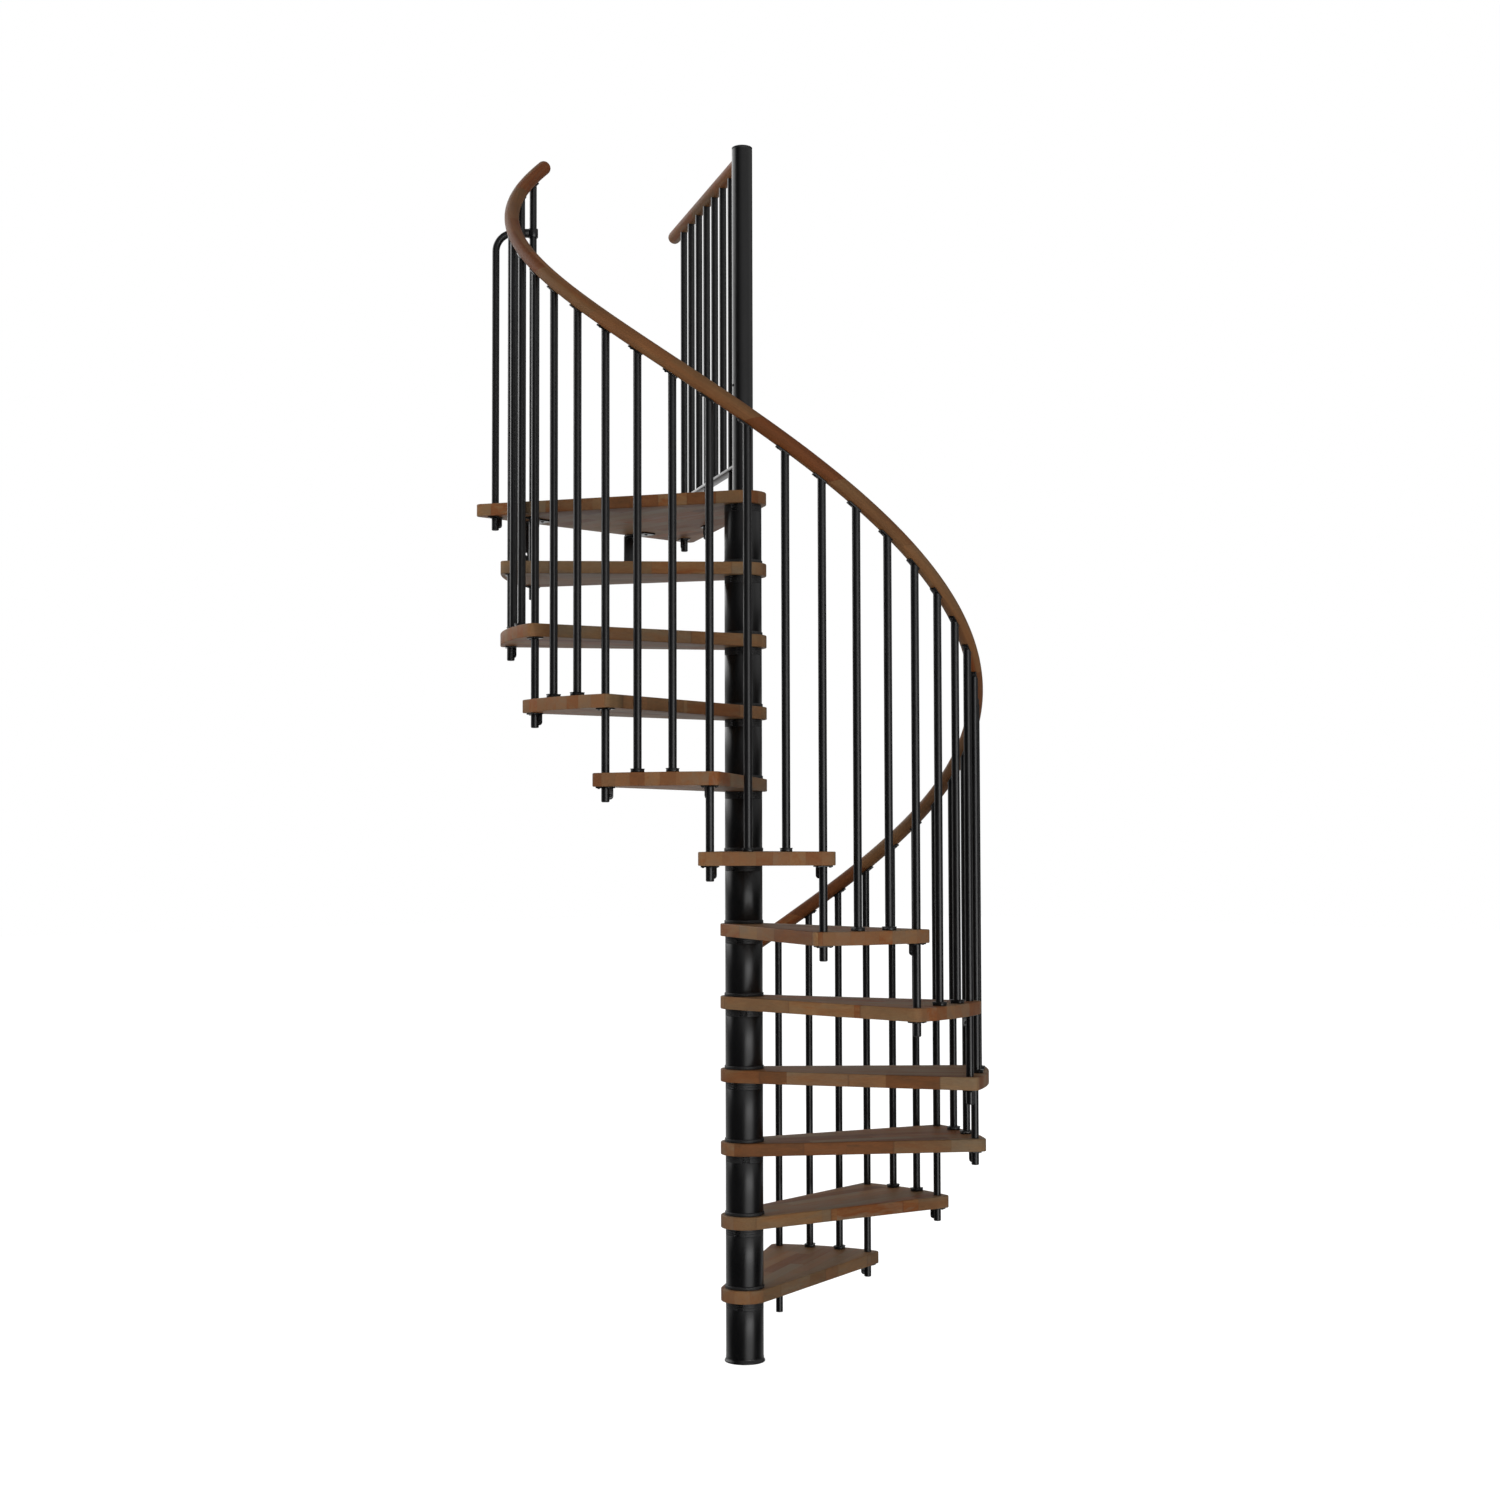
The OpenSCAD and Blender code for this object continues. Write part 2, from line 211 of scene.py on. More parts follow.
class Shader:
    """A short way to write a node material."""

    def __init__(self, name):
        self.material = bpy.data.materials.new(name)
        self.material.use_nodes = True
        self.tree = self.material.node_tree
        self.surface = self.tree.nodes["Principled BSDF"]

    def node(self, kind, values=None, **settings):
        made = self.tree.nodes.new("ShaderNode" + kind)
        for key, value in settings.items():
            setattr(made, key, value)
        for key, value in (values or {}).items():
            self.feed(made.inputs[key], value)
        return made

    def feed(self, socket, value):
        if isinstance(value, bpy.types.NodeSocket):
            self.tree.links.new(value, socket)
        else:
            socket.default_value = value

    def math(self, operation, first, second=0.0, third=0.0):
        made = self.node("Math", operation=operation)
        for socket, value in zip(made.inputs, (first, second, third)):
            self.feed(socket, value)
        return made.outputs[0]

    def ramp(self, value, low, high, to_low=0.0, to_high=1.0):
        made = self.node("MapRange", {0: value, 1: low, 2: high, 3: to_low, 4: to_high}, clamp=True)
        return made.outputs[0]

    def noise(self, vector, scale, detail=3.0, roughness=0.5, distortion=0.0):
        made = self.node("TexNoise", {"Vector": vector, "Scale": scale, "Detail": detail,
                                      "Roughness": roughness, "Distortion": distortion})
        return made.outputs[0]

    def stretch(self, vector, scale):
        made = self.node("VectorMath", operation="MULTIPLY")
        self.feed(made.inputs[0], vector)
        made.inputs[1].default_value = scale
        return made.outputs[0]

    def shift(self, vector, offset):
        made = self.node("VectorMath", operation="ADD")
        self.feed(made.inputs[0], vector)
        self.feed(made.inputs[1], offset)
        return made.outputs[0]

    def mix(self, factor, first, second, blend="MIX"):
        made = self.node("Mix", data_type="RGBA", blend_type=blend, clamp_factor=True)
        self.feed(made.inputs[0], factor)
        self.feed(made.inputs[6], first)
        self.feed(made.inputs[7], second)
        return made.outputs[2]

    def grey(self, value):
        return self.node("CombineColor", {0: value, 1: value, 2: value}).outputs[0]

    def colours(self, value, stops):
        made = self.node("ValToRGB", {0: value})
        ramp = made.color_ramp
        while len(ramp.elements) < len(stops):
            ramp.elements.new(0.5)
        for element, (place, colour) in zip(ramp.elements, stops):
            element.position = place
            element.color = (*colour, 1)
        return made.outputs[0]

    def bump(self, height, distance, strength):
        values = {"Height": height, "Distance": distance, "Strength": strength}
        return self.node("Bump", values).outputs[0]

    def paint(self, **sockets):
        for name, value in sockets.items():
            self.feed(self.surface.inputs[name.replace("_", " ").title().replace("Ior", "IOR")], value)
        return self.material


WOOD_GLOSS = 0.12

# The stain's colours, from dark to pale staves
WOOD_TONES = [
    (0.00, (0.076, 0.034, 0.013)),
    (0.16, (0.119, 0.044, 0.014)),
    (0.34, (0.122, 0.072, 0.034)),
    (0.50, (0.141, 0.066, 0.027)),
    (0.64, (0.126, 0.086, 0.050)),
    (0.80, (0.160, 0.084, 0.035)),
    (0.90, (0.143, 0.046, 0.012)),
    (1.00, (0.150, 0.106, 0.064)),
]


def wood_material(name, stave, block, slant, spread_of_tone, tint):
    """Stained, satin timber glued from staves.

    Two mesh attributes drive it: grain_place, whose X runs along the grain, and grain_way,
    the grain's direction. Each piece's pass index gives it staves of its own.
    """
    s = Shader(name)
    place = s.node("Attribute", attribute_name="grain_place").outputs["Vector"]
    seed = s.math("MULTIPLY", s.node("ObjectInfo").outputs["Object Index"], 1.731)
    parts = s.node("SeparateXYZ", {0: place}).outputs
    along, across = parts[0], parts[1]

    # Which stave and which block of it, with a tone of its own
    row = s.math("DIVIDE", s.math("ADD", across, 1.0), stave)
    row = s.math("ADD", row, s.math("MULTIPLY", seed, 0.37))
    row_id = s.math("FLOOR", row)
    row_noise = s.node("TexWhiteNoise", {"W": s.math("ADD", row_id, seed)}, noise_dimensions="1D")
    column = s.math("DIVIDE", s.math("ADD", along, s.math("MULTIPLY", parts[2], slant)), block)
    column = s.math("ADD", column, s.math("MULTIPLY", row_noise.outputs[0], 7.0))
    column_id = s.math("FLOOR", column)
    block_id = s.node("CombineXYZ", {0: column_id, 1: row_id, 2: seed}).outputs[0]
    tone = s.node("TexWhiteNoise", {"Vector": block_id}, noise_dimensions="3D")
    grown = s.shift(place, s.stretch(tone.outputs["Color"], (5.0, 5.0, 5.0)))

    # Growth rings, fine streaks and short flecks, all drawn out along the grain
    rings = s.noise(s.stretch(grown, (2.2, 34.0, 34.0)), 1.0, 3.0, 0.55, 0.6)
    streaks = s.noise(s.stretch(grown, (9.0, 330.0, 330.0)), 1.0, 4.0, 0.62, 0.2)
    flecks = s.noise(s.stretch(grown, (110.0, 1500.0, 1500.0)), 1.0, 2.0, 0.5)
    fleck_mask = s.ramp(flecks, 0.60, 0.72)
    mottle = s.noise(grown, 11.0, 2.0, 0.5)

    shade = s.math("MULTIPLY_ADD", tone.outputs["Value"], spread_of_tone, 0.5 - 0.5 * spread_of_tone)
    shade = s.math("ADD", shade, s.math("MULTIPLY", s.math("SUBTRACT", rings, 0.5), 0.42))
    base = s.colours(shade, [(at, [c * t for c, t in zip(colour, tint)]) for at, colour in WOOD_TONES])
    light = s.ramp(streaks, 0.30, 0.72, 0.84, 1.12)
    light = s.math("MULTIPLY", light, s.ramp(mottle, 0.3, 0.7, 0.92, 1.08))
    light = s.math("MULTIPLY", light, s.math("SUBTRACT", 1.0, s.math("MULTIPLY", fleck_mask, 0.22)))
    colour = s.mix(1.0, base, s.grey(light), "MULTIPLY")

    # Glue lines between staves and where blocks meet end to end
    def line(value, width):
        return s.ramp(s.math("PINGPONG", value, 0.5), width * 0.3, width * 0.8, 1.0, 0.0)

    glue = s.math("MAXIMUM", line(row, 0.8 * MM / stave), line(column, 0.8 * MM / block))
    colour = s.mix(s.math("MULTIPLY", glue, 0.28), colour, (0.030, 0.014, 0.008, 1))

    # End grain drinks more stain, so faces across the grain are deeper and redder
    way = s.node("Attribute", attribute_name="grain_way").outputs["Vector"]
    facing = s.node("VectorMath", operation="DOT_PRODUCT")
    s.feed(facing.inputs[0], s.node("TexCoord").outputs["Normal"])
    s.feed(facing.inputs[1], way)
    end_grain = s.ramp(s.math("ABSOLUTE", facing.outputs["Value"]), 0.55, 0.95)
    colour = s.mix(s.math("MULTIPLY", end_grain, 0.30), colour, (0.115, 0.042, 0.016, 1))

    rough = s.math("ADD", s.ramp(streaks, 0.3, 0.7, 0.50, 0.62), s.ramp(mottle, 0.3, 0.7, -0.04, 0.05))
    height = s.math("SUBTRACT", s.math("MULTIPLY", streaks, 0.6), s.math("MULTIPLY", fleck_mask, 0.5))
    height = s.math("SUBTRACT", height, s.math("MULTIPLY", glue, 0.9))
    return s.paint(base_color=colour, roughness=rough, normal=s.bump(height, 0.10 * MM, 0.5),
                   specular_ior_level=WOOD_GLOSS)


def coated_steel(name, colour, rough, peel):
    """Black powder coat: a fine orange-peel skin with small changes of sheen."""
    s = Shader(name)
    place = s.node("TexCoord").outputs["Object"]
    skin = s.noise(place, 900.0, 2.0, 0.55)
    grit = s.noise(place, 3400.0, 1.0, 0.5)
    cloud = s.noise(place, 5.0, 3.0, 0.6)
    rub = s.noise(s.stretch(place, (60.0, 60.0, 9.0)), 1.0, 4.0, 0.7)
    tone = s.ramp(cloud, 0.3, 0.7, 0.84, 1.16)
    base = s.mix(1.0, (*colour, 1), s.grey(tone), "MULTIPLY")
    base = s.mix(s.ramp(rub, 0.70, 0.84, 0.0, 0.15), base, (0.012, 0.012, 0.013, 1))
    gloss = s.math("ADD", s.ramp(cloud, 0.3, 0.7, rough - 0.035, rough + 0.035),
                   s.ramp(grit, 0.3, 0.7, -0.02, 0.02))
    height = s.math("ADD", skin, s.math("MULTIPLY", grit, 0.35))
    return s.paint(base_color=base, roughness=gloss, normal=s.bump(height, peel, 0.5),
                   specular_ior_level=0.4)


def moulded_plastic(name):
    """Matt black plastic with a fine spark-eroded grain."""
    s = Shader(name)
    place = s.node("TexCoord").outputs["Object"]
    grain = s.noise(place, 2600.0, 3.0, 0.6)
    cloud = s.noise(place, 14.0, 2.0, 0.5)
    base = s.mix(s.ramp(cloud, 0.3, 0.7), (0.003, 0.003, 0.0033, 1), (0.006, 0.006, 0.0064, 1))
    return s.paint(base_color=base, roughness=s.ramp(grain, 0.3, 0.7, 0.48, 0.62),
                   normal=s.bump(grain, 0.03 * MM, 0.6), specular_ior_level=0.5)


def blackened_screw(name):
    """Blackened steel screws, a little bare on their edges."""
    s = Shader(name)
    place = s.node("TexCoord").outputs["Object"]
    worn = s.noise(place, 700.0, 4.0, 0.7)
    base = s.mix(s.ramp(worn, 0.52, 0.70), (0.018, 0.018, 0.019, 1), (0.10, 0.10, 0.105, 1))
    return s.paint(base_color=base, metallic=0.85, roughness=s.ramp(worn, 0.3, 0.7, 0.28, 0.48),
                   normal=s.bump(worn, 0.02 * MM, 0.4))


BOARD = wood_material("walnut_stained_boards", 0.043, 0.31, 0.0, 0.84, (1.0, 1.0, 1.0))
RAIL_WOOD = wood_material("walnut_stained_rail", 0.046, 0.27, 0.9, 0.85, (0.84, 0.69, 0.56))
STEEL = coated_steel("black_powder_coat", (0.0028, 0.0028, 0.0031), 0.30, 0.003 * MM)
PLASTIC = moulded_plastic("black_plastic")
SCREW = blackened_screw("blackened_screws")
MATERIALS = {"wood": BOARD, "rail": RAIL_WOOD, "steel": STEEL, "plastic": PLASTIC, "screw": SCREW}


# ---- Mesh tools ----------------------------------------------------------------

def piece(name, mesh, look, nodes=(), sharp=35.0):
    """Turns a bmesh into a piece that rides on the stair and stands for the given CAD nodes."""
    bmesh.ops.recalc_face_normals(mesh, faces=mesh.faces)
    data = bpy.data.meshes.new(name)
    mesh.to_mesh(data)
    mesh.free()
    for polygon in data.polygons:
        polygon.use_smooth = abs(polygon.normal.z) < 0.9995 or look == "rail"
    data.set_sharp_from_angle(angle=math.radians(sharp))
    data.materials.append(MATERIALS[look])
    made = bpy.data.objects.new(name, data)
    bpy.context.scene.collection.objects.link(made)
    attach(made, BODY)
    if nodes:
        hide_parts(*nodes)
    return made


def ring_verts(mesh, centre_at, side, up, radius, count):
    """A ring of vertices about a point, in the plane of two unit vectors."""
    return [mesh.verts.new(centre_at + side * radius * math.cos(math.tau * (k + 0.5) / count)
                           + up * radius * math.sin(math.tau * (k + 0.5) / count))
            for k in range(count)]


def bridge(mesh, lower, upper):
    count = len(lower)
    for k in range(count):
        after = (k + 1) % count
        mesh.faces.new((lower[k], lower[after], upper[after], upper[k]))


def lathe(mesh, profile, count, matrix=Matrix.Identity(4), closed=False):
    """Turns a profile of (radius, height) pairs about the Z axis of a matrix.

    An open profile gets a flat cap at any end that is off the axis.
    """
    rings = []
    for radius, height in profile:
        rings.append([mesh.verts.new(matrix @ v) for v in circle_points(radius, height, count)])
    pairs = list(zip(rings, rings[1:]))
    if closed:
        pairs.append((rings[-1], rings[0]))
    for lower, upper in pairs:
        bridge(mesh, lower, upper)
    if not closed:
        mesh.faces.new(rings[0])
        mesh.faces.new(rings[-1])


def circle_points(radius, height, count):
    turns = [math.tau * k / count for k in range(count)]
    return [Vector((radius * math.cos(a), radius * math.sin(a), height)) for a in turns]


def rounded(radius, low, high, edge, steps=3):
    """Profile of a round bar from low to high with rounded edges."""
    turns = [math.radians(90 * k / steps) for k in range(steps + 1)]
    bottom = [(radius - edge * (1 - math.sin(a)), low + edge * (1 - math.cos(a))) for a in turns]
    top = [(radius - edge * (1 - math.sin(a)), high - edge * (1 - math.cos(a))) for a in reversed(turns)]
    return bottom + top


def ring_profile(inner, outer, low, high, edge, steps=2):
    """Closed profile of a ring with rounded outer edges."""
    return [(inner, low)] + rounded(outer, low, high, edge, steps) + [(inner, high)]


def screw_head(mesh, matrix, radius=SCREW_R, height=2.0 * MM):
    """A domed screw head with a socket, its foot at the matrix's origin, along its Z."""
    dome = [(radius, 0.0), (radius, 0.35 * height),
            (0.86 * radius, 0.75 * height), (0.58 * radius, height)]
    socket = [(0.42 * radius, 0.94 * height), (0.42 * 0.95 * radius, 0.45 * height)]
    rings = [[mesh.verts.new(matrix @ v) for v in circle_points(r, z, SCREW_SIDES)]
             for r, z in dome + socket]
    for lower, upper in zip(rings, rings[1:]):
        bridge(mesh, lower, upper)
    mesh.faces.new(rings[0])
    mesh.faces.new(rings[-1])


def slab(mesh, loops, low, high, edge, steps=3):
    """A flat board from an outline and its holes, all with the solid on their left.

    The outline's edges are rounded over; those of the holes are only just broken.
    """
    turns = [math.radians(90 * k / steps) for k in range(steps + 1)]
    levels = [(edge * (1 - math.sin(a)), low + edge * (1 - math.cos(a))) for a in turns]
    levels += [(inset, low + high - z) for inset, z in reversed(levels)]
    rims = {low: [], high: []}
    for number, loop in enumerate(loops):
        count = len(loop)
        ease = 1.0 if number == 0 else HOLE_EASE
        inward = []
        for k in range(count):
            ahead = (loop[(k + 1) % count] - loop[k]).normalized()
            behind = (loop[k] - loop[k - 1]).normalized()
            mean = (ahead + behind).normalized()
            inward.append(Vector((-mean.y, mean.x)) / max(0.5, mean.dot(ahead)))
        rings = [[mesh.verts.new((*(loop[k] + inward[k] * inset * ease), z)) for k in range(count)]
                 for inset, z in levels]
        for lower, upper in zip(rings, rings[1:]):
            bridge(mesh, lower, upper)
        rims[low].append(rings[0])
        rims[high].append(rings[-1])
    for rings in rims.values():
        edges = []
        for ring in rings:
            for k in range(len(ring)):
                edges.append(mesh.edges.get((ring[k - 1], ring[k])))
        bmesh.ops.triangle_fill(mesh, use_beauty=True, edges=edges)


def sweep(mesh, path, radii, sides, grain=None):
    """A round bar along a path of points, with a radius for each."""
    rings = []
    run = 0.0
    for k, point in enumerate(path):
        ahead = path[min(k + 1, len(path) - 1)]
        behind = path[max(k - 1, 0)]
        forward = (ahead - behind).normalized()
        side = forward.cross(UP)
        side = side.normalized() if side.length > 1e-3 else sweep_side(path)
        up = side.cross(forward).normalized()
        ring = ring_verts(mesh, point, side, up, radii[k], sides)
        if grain is not None:
            run += (point - behind).length if k else 0.0
            for j, vert in enumerate(ring):
                round_at = math.tau * (j + 0.5) / sides
                vert[grain[0]] = Vector((run, radii[k] * math.cos(round_at),
                                         radii[k] * math.sin(round_at)))
                vert[grain[1]] = forward
        rings.append(ring)
    for lower, upper in zip(rings, rings[1:]):
        bridge(mesh, lower, upper)
    mesh.faces.new(rings[0])
    mesh.faces.new(rings[-1])


def sweep_side(path):
    """The sideways direction of a path that lies in one upright plane."""
    for point in path:
        flat = (point - path[0]).to_2d()
        if flat.length > MM:
            return Vector((flat.y, -flat.x, 0)).normalized()
    return Vector((1, 0, 0))


def placed(x, y, z, angle=0.0):
    return Matrix.Translation((x, y, z)) @ Matrix.Rotation(angle, 4, "Z")


def polar(radius, angle, z=0.0):
    return Vector((radius * math.cos(angle), radius * math.sin(angle), z))


def foot_frame(place, z, angle=None):
    """A frame at a point, its X axis away from the column unless an angle is given."""
    turned = math.atan2(place.y, place.x) if angle is None else angle
    return placed(place.x, place.y, z, turned)


# ---- Column and post -------------------------------------------------------------

def make_base():
    low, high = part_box("base_plate")
    outer = high.x
    flare = [(column_r + (outer - column_r) * (1 - k / 6) ** 2,
              low.z + 4 * MM + (high.z - 4 * MM) * k / 6) for k in range(6)]
    profile = [(outer - 1.6 * MM, low.z), (outer - 0.5 * MM, low.z + 0.5 * MM),
               (outer, low.z + 1.6 * MM)]
    profile += flare + [(column_r + 0.6 * MM, high.z), (column_r - 1 * MM, high.z)]
    mesh = bmesh.new()
    lathe(mesh, profile, COLUMN_SIDES)
    piece("floor_flange", mesh, "steel", ["base_plate"])


def make_column():
    mesh = bmesh.new()
    for low, high in solids("column_tubes"):
        profile = ring_profile(column_r - COLUMN_WALL, column_r, low.z, high.z, 1.2 * MM)
        lathe(mesh, profile, COLUMN_SIDES, closed=True)
    piece("column_sleeves", mesh, "steel", ["column_tubes"])


def spacer_disc(mesh, low, high, notch_angle):
    """One spacer: a disc with soft edges and a short slot for a lever."""
    edge = 0.5 * MM
    slot_half = 9 * MM / column_r
    slot_tall = 2 * MM
    slot_deep = 6 * MM
    mid = (low + high) / 2
    levels = [(low, edge, 0), (low + edge, 0, 0), (mid - slot_tall, 0, 0), (mid - slot_tall, 0, 1),
              (mid + slot_tall, 0, 1), (mid + slot_tall, 0, 0), (high - edge, 0, 0), (high, edge, 0)]
    rings = []
    for height, inset, in_slot in levels:
        ring = []
        for k in range(COLUMN_SIDES):
            angle = math.tau * k / COLUMN_SIDES
            off = abs(math.remainder(angle - notch_angle, math.tau))
            radius = column_r - inset - (slot_deep if in_slot and off < slot_half else 0)
            ring.append(mesh.verts.new(polar(radius, angle, height)))
        rings.append(ring)
    for lower, upper in zip(rings, rings[1:]):
        bridge(mesh, lower, upper)
    mesh.faces.new(rings[0])
    mesh.faces.new(rings[-1])


def make_spacers():
    chance = random.Random(7)
    discs = 3
    mesh = bmesh.new()
    for low, high in solids("spacer_stacks"):
        notch_angle = math.radians(SLOT_BEARING + chance.uniform(-SLOT_SPREAD, SLOT_SPREAD))
        tall = (high.z - low.z) / discs
        for k in range(discs):
            spacer_disc(mesh, low.z + k * tall, low.z + (k + 1) * tall, notch_angle)
    piece("spacer_discs", mesh, "plastic", ["spacer_stacks"], sharp=50)


def make_collars():
    mesh = bmesh.new()
    for low, high in solids("tube_collars"):
        profile = ring_profile(column_r, high.x, low.z, high.z, 1.8 * MM, 3)
        lathe(mesh, profile, COLUMN_SIDES, closed=True)
    piece("sleeve_collars", mesh, "plastic", ["tube_collars"])


def make_post():
    mesh = bmesh.new()
    lathe(mesh, rounded(post_r, post_low.z, post_high.z, 0.6 * MM), POST_SIDES)
    piece("newel_post", mesh, "steel", ["centre_post"])

    cap_low, cap_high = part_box("post_cap")
    seam = [(post_r - 0.6 * MM, cap_low.z), (post_r - 0.6 * MM, cap_low.z + 0.5 * MM)]
    crown = rounded(post_r, cap_low.z + 0.8 * MM, cap_high.z, 5 * MM, 6)
    dome = seam + [(radius, height) for radius, height in crown if height > cap_high.z - 5.1 * MM]
    mesh = bmesh.new()
    lathe(mesh, dome, POST_SIDES)
    piece("newel_cap", mesh, "plastic", ["post_cap"])

    mesh = bmesh.new()
    side = math.radians(161)
    at_z = landing_high.z + 0.315
    out = Matrix.Translation(polar(post_r - 0.3 * MM, side, at_z)) @ Matrix.Rotation(side, 4, "Z")
    screw_head(mesh, out @ Matrix.Rotation(math.pi / 2, 4, "Y"), 4 * MM)
    piece("newel_screw", mesh, "screw")


# ---- Boards ------------------------------------------------------------------------

def make_board(name, node, direction, number):
    """A board whose grain runs in a direction away from the column."""
    low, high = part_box(node)
    mesh, grain_place, grain_way = grained_mesh()
    slab(mesh, top_loops(node), low.z, high.z, WOOD_EDGE)
    turned = Matrix.Rotation(-direction, 3, "Z")
    for vert in mesh.verts:
        vert[grain_place] = turned @ (vert.co - UP * high.z)
        vert[grain_way] = polar(1, direction)
    piece(name, mesh, "wood", [node]).pass_index = number


def make_boards():
    for number, node in enumerate(TREADS, start=1):
        make_board("board_" + node, node, angle_at(number - 0.5), number)
    make_board("board_landing", "landing", math.pi / 2, tread_count + 1)


# ---- Railing -------------------------------------------------------------------------

def upright(mesh, x, y, low, high, uphill=None):
    """An upright tube with softened edges; with an uphill direction its top is cut on the slope."""
    edge = 0.7 * MM
    rings = []
    for radius, height, sloped in ((tube_r - edge, low, 0), (tube_r, low + edge, 0), (tube_r, high, 1)):
        ring = []
        for v in circle_points(radius, height, TUBE_SIDES):
            if sloped and uphill is not None:
                v.z += math.tan(slope) * v.to_2d().dot(uphill)
            ring.append(mesh.verts.new(v + Vector((x, y, 0))))
        rings.append(ring)
    for lower, upper in zip(rings, rings[1:]):
        bridge(mesh, lower, upper)
    mesh.faces.new(rings[0])
    mesh.faces.new(rings[-1])


def plug(mesh, x, y, low):
    """A black plug in the open lower end of a tube."""
    profile = [(tube_r - 3.5 * MM, low - PLUG_DROP), (tube_r - 1.5 * MM, low - 1.7 * MM),
               (tube_r - 0.5 * MM, low - 0.7 * MM), (tube_r - 0.4 * MM, low + 0.1 * MM)]
    lathe(mesh, profile, TUBE_SIDES, placed(x, y, 0))


def make_railing():
    plugs = bmesh.new()
    for node in TUBE_NODES:
        mesh = bmesh.new()
        for box in solids(node):
            middle = centre(box)
            angle = math.atan2(middle.y, middle.x)
            uphill = Vector((math.sin(angle), -math.cos(angle)))
            through = is_through(box)
            low = box[0].z + (PLUG_DROP if through else 0)
            upright(mesh, middle.x, middle.y, low, box[1].z - tube_r * math.tan(slope), uphill)
            if through:
                plug(plugs, middle.x, middle.y, low)
        piece("balusters_" + node[-2:], mesh, "steel", [node])
    for box in guard_solids:
        if is_through(box):
            plug(plugs, centre(box).x, centre(box).y, box[0].z + PLUG_DROP)
    plug(plugs, hoop_leg.x, hoop_leg.y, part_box("hoop_tube")[0].z + PLUG_DROP)
    piece("baluster_plugs", plugs, "plastic")


def is_through(box):
    """Whether a tube goes through a board and hangs below it."""
    above_step = box[0].z % rise
    return 5 * MM < above_step < rise - 5 * MM and box[0].z < landing_high.z


def make_feet():
    feet = bmesh.new()
    screws = bmesh.new()
    for low, high in solids("tube_feet"):
        middle = (low + high) / 2
        matrix = foot_frame(middle, low.z)
        radius, half_w, height = 19 * MM, 13.5 * MM, high.z - low.z
        for grow, z0, z1, edge in ((0.0, 0.0, height - 2.2 * MM, 0.8 * MM),
                                   (1.2 * MM, height - 2.2 * MM, height, 0.7 * MM)):
            outline = flat_circle(radius + grow, half_w + grow)
            slab_in(feet, outline, z0, z1, edge, matrix)
        for side in (-1, 1):
            for end in (-1, 1):
                spot = matrix @ Matrix.Translation((end * 8.5 * MM, side * half_w, 0.45 * height))
                outward = Matrix.Rotation(-side * math.pi / 2, 4, "X")
                screw_head(screws, spot @ outward, 2.6 * MM, 0.9 * MM)
    piece("baluster_feet", feet, "steel", ["tube_feet"])
    piece("foot_screws", screws, "screw")


def flat_circle(radius, half_w):
    """Outline of a round plate with two flat sides, counter-clockwise."""
    limit = math.asin(half_w / radius)
    steps = 10
    right = [limit * (2 * k / steps - 1) for k in range(steps + 1)]
    return ([Vector((radius * math.cos(a), radius * math.sin(a))) for a in right]
            + [Vector((-radius * math.cos(a), -radius * math.sin(a))) for a in right])


def rounded_rectangle(x0, y0, x1, y1, radius, steps=5):
    corners = ((x1 - radius, y0 + radius, -90), (x1 - radius, y1 - radius, 0),
               (x0 + radius, y1 - radius, 90), (x0 + radius, y0 + radius, 180))
    return [Vector((cx + radius * math.cos(math.radians(start + 90 * k / steps)),
                    cy + radius * math.sin(math.radians(start + 90 * k / steps))))
            for cx, cy, start in corners for k in range(steps + 1)]


def slab_in(mesh, outline, low, high, edge, matrix, holes=()):
    """A slab made in a frame of its own and added to a mesh."""
    part = bmesh.new()
    slab(part, [outline, *holes], low, high, edge, 2)
    bmesh.ops.recalc_face_normals(part, faces=part.faces)
    part.transform(matrix)
    held = bpy.data.meshes.new("held")
    part.to_mesh(held)
    part.free()
    mesh.from_mesh(held)
    bpy.data.meshes.remove(held)


def clamp(plates, screws, matrix, side):
    """Plate under the wood with a bolted tab down the tube's inner side."""
    thick, half_l, half_w = 4 * MM, 23 * MM, 16 * MM
    slab_in(plates, rounded_rectangle(-half_w, -half_l, half_w, half_l, 5 * MM),
            -thick, 0, 0.7 * MM, matrix)
    reach, tall, corner = 21 * MM, 34 * MM, 9 * MM
    tab = [Vector((0, 0)), Vector((reach - corner, 0))]
    tab += [Vector((reach - corner * (1 - math.sin(a)), corner * (1 - math.cos(a))))
            for a in [math.radians(15 * k) for k in range(1, 7)]]
    tab += [Vector((reach, tall - thick)), Vector((0, tall - thick))]
    leaning = Matrix.Rotation(math.radians(45 if side > 0 else 135), 4, "Z")
    stand = Matrix(((0, 0, 1, -thick / 2), (1, 0, 0, 0), (0, 1, 0, -tall), (0, 0, 0, 1)))
    slab_in(plates, tab, 0, thick, 0.5 * MM, matrix @ leaning @ stand)
    across = matrix @ leaning @ Matrix.Translation((thick / 2, reach - 7 * MM, -tall + 11 * MM))
    screw_head(screws, across @ Matrix.Rotation(math.pi / 2, 4, "Y"), 4.2 * MM, 2.6 * MM)
    behind = matrix @ leaning @ Matrix.Translation((-thick / 2, reach - 7 * MM, -tall + 11 * MM))
    screw_head(screws, behind @ Matrix.Rotation(-math.pi / 2, 4, "Y"), 4.2 * MM, 2.6 * MM)
    for end in (-1, 1):
        spot = matrix @ Matrix.Translation((6 * MM, end * 17.5 * MM, -thick))
        screw_head(screws, spot @ Matrix.Rotation(math.pi, 4, "X"), 3.8 * MM, 2.0 * MM)


